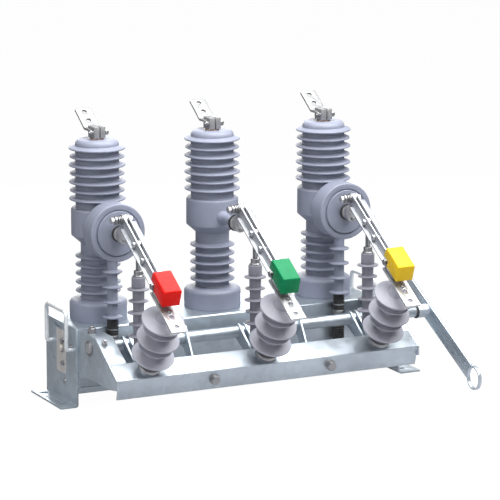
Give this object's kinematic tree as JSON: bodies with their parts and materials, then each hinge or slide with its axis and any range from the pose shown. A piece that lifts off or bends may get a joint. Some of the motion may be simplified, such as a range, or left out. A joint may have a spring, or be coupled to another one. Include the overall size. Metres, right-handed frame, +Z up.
{
  "type": "outdoor vacuum circuit breaker with isolating switch",
  "caption": "Pole-mounted three-phase vacuum circuit breaker on a galvanised box, with a coupled isolating switch worked by a side lever.",
  "frame": {"origin": "centre of the four foot slots, on the underside of the feet", "axes": "+Z up, +X along the row of poles towards the operating lever, -Y towards the isolating switch"},
  "size_m": [1.0755, 0.6229, 0.7715],
  "materials": {
    "pole_resin": "matte moulded resin",
    "post_resin": "matte moulded resin",
    "rod_resin": "matte moulded resin",
    "galvanised": "hot-dip galvanised",
    "tray_steel": "hot-dip galvanised",
    "stainless": "brushed",
    "tinned": "satin tin plating",
    "conduit_rubber": "satin",
    "cap_red": "gloss",
    "cap_green": "gloss",
    "cap_yellow": "gloss"
  },
  "bodies": {
    "root": {"mechanism_box": "galvanised", "left_end_plate": "galvanised", "right_end_plate": "galvanised", "right_foot_bracket": "galvanised", "left_carry_handle": "galvanised", "right_carry_handle": "galvanised", "left_gusset": "galvanised", "right_gusset": "galvanised", "front_beam": "galvanised", "shaft_support_plates": "galvanised", "box_base_tray": "tray_steel", "lock_plate": "stainless", "charging_shaft": "stainless", "pole_a": "pole_resin", "top_terminal_a": "tinned", "hinge_terminal_a": "tinned", "static_contact_a": "tinned", "post_insulator_a": "post_resin", "current_transformer_a": "pole_resin", "ct_lead_a": "pole_resin", "lead_conduit_a": "conduit_rubber", "pole_b": "pole_resin", "top_terminal_b": "tinned", "hinge_terminal_b": "tinned", "static_contact_b": "tinned", "post_insulator_b": "post_resin", "pole_c": "pole_resin", "top_terminal_c": "tinned", "hinge_terminal_c": "tinned", "static_contact_c": "tinned", "post_insulator_c": "post_resin", "current_transformer_c": "pole_resin", "ct_lead_c": "pole_resin", "lead_conduit_c": "conduit_rubber"},
    "shaft": {"operating_shaft": "galvanised", "operating_lever": "galvanised"},
    "switch_blade_a": {"blade_a": "tinned", "phase_cap_a": "cap_red"},
    "rod_a": {"pull_rod_a": "rod_resin"},
    "switch_blade_b": {"blade_b": "tinned", "phase_cap_b": "cap_green"},
    "rod_b": {"pull_rod_b": "rod_resin"},
    "switch_blade_c": {"blade_c": "tinned", "phase_cap_c": "cap_yellow"},
    "rod_c": {"pull_rod_c": "rod_resin"}
  },
  "joints": [
    {"name": "shaft_turn", "type": "hinge", "parent": "root", "child": "shaft", "pos_m": [0, -0.179, 0.179], "axis": [-1, 0, 0], "range_deg": [0, 60]},
    {"name": "blade_turn_a", "type": "hinge", "parent": "root", "child": "switch_blade_a", "pos_m": [-0.365, -0.179, 0.515], "axis": [-1, 0, 0], "range_deg": [0, 60]},
    {"name": "rod_turn_a", "type": "hinge", "parent": "shaft", "child": "rod_a", "pos_m": [-0.365, -0.26299, 0.12753], "axis": [-1, 0, 0], "range_deg": [-60, 0]},
    {"name": "blade_turn_b", "type": "hinge", "parent": "root", "child": "switch_blade_b", "pos_m": [-0.025, -0.179, 0.515], "axis": [-1, 0, 0], "range_deg": [0, 60]},
    {"name": "rod_turn_b", "type": "hinge", "parent": "shaft", "child": "rod_b", "pos_m": [-0.025, -0.26299, 0.12753], "axis": [-1, 0, 0], "range_deg": [-60, 0]},
    {"name": "blade_turn_c", "type": "hinge", "parent": "root", "child": "switch_blade_c", "pos_m": [0.315, -0.179, 0.515], "axis": [-1, 0, 0], "range_deg": [0, 60]},
    {"name": "rod_turn_c", "type": "hinge", "parent": "shaft", "child": "rod_c", "pos_m": [0.315, -0.26299, 0.12753], "axis": [-1, 0, 0], "range_deg": [-60, 0]}
  ],
  "couplings": [
    {"joint": "blade_turn_a", "follows": "shaft_turn", "ratio": 1},
    {"joint": "rod_turn_a", "follows": "shaft_turn", "ratio": -1},
    {"joint": "blade_turn_b", "follows": "shaft_turn", "ratio": 1},
    {"joint": "rod_turn_b", "follows": "shaft_turn", "ratio": -1},
    {"joint": "blade_turn_c", "follows": "shaft_turn", "ratio": 1},
    {"joint": "rod_turn_c", "follows": "shaft_turn", "ratio": -1}
  ]
}
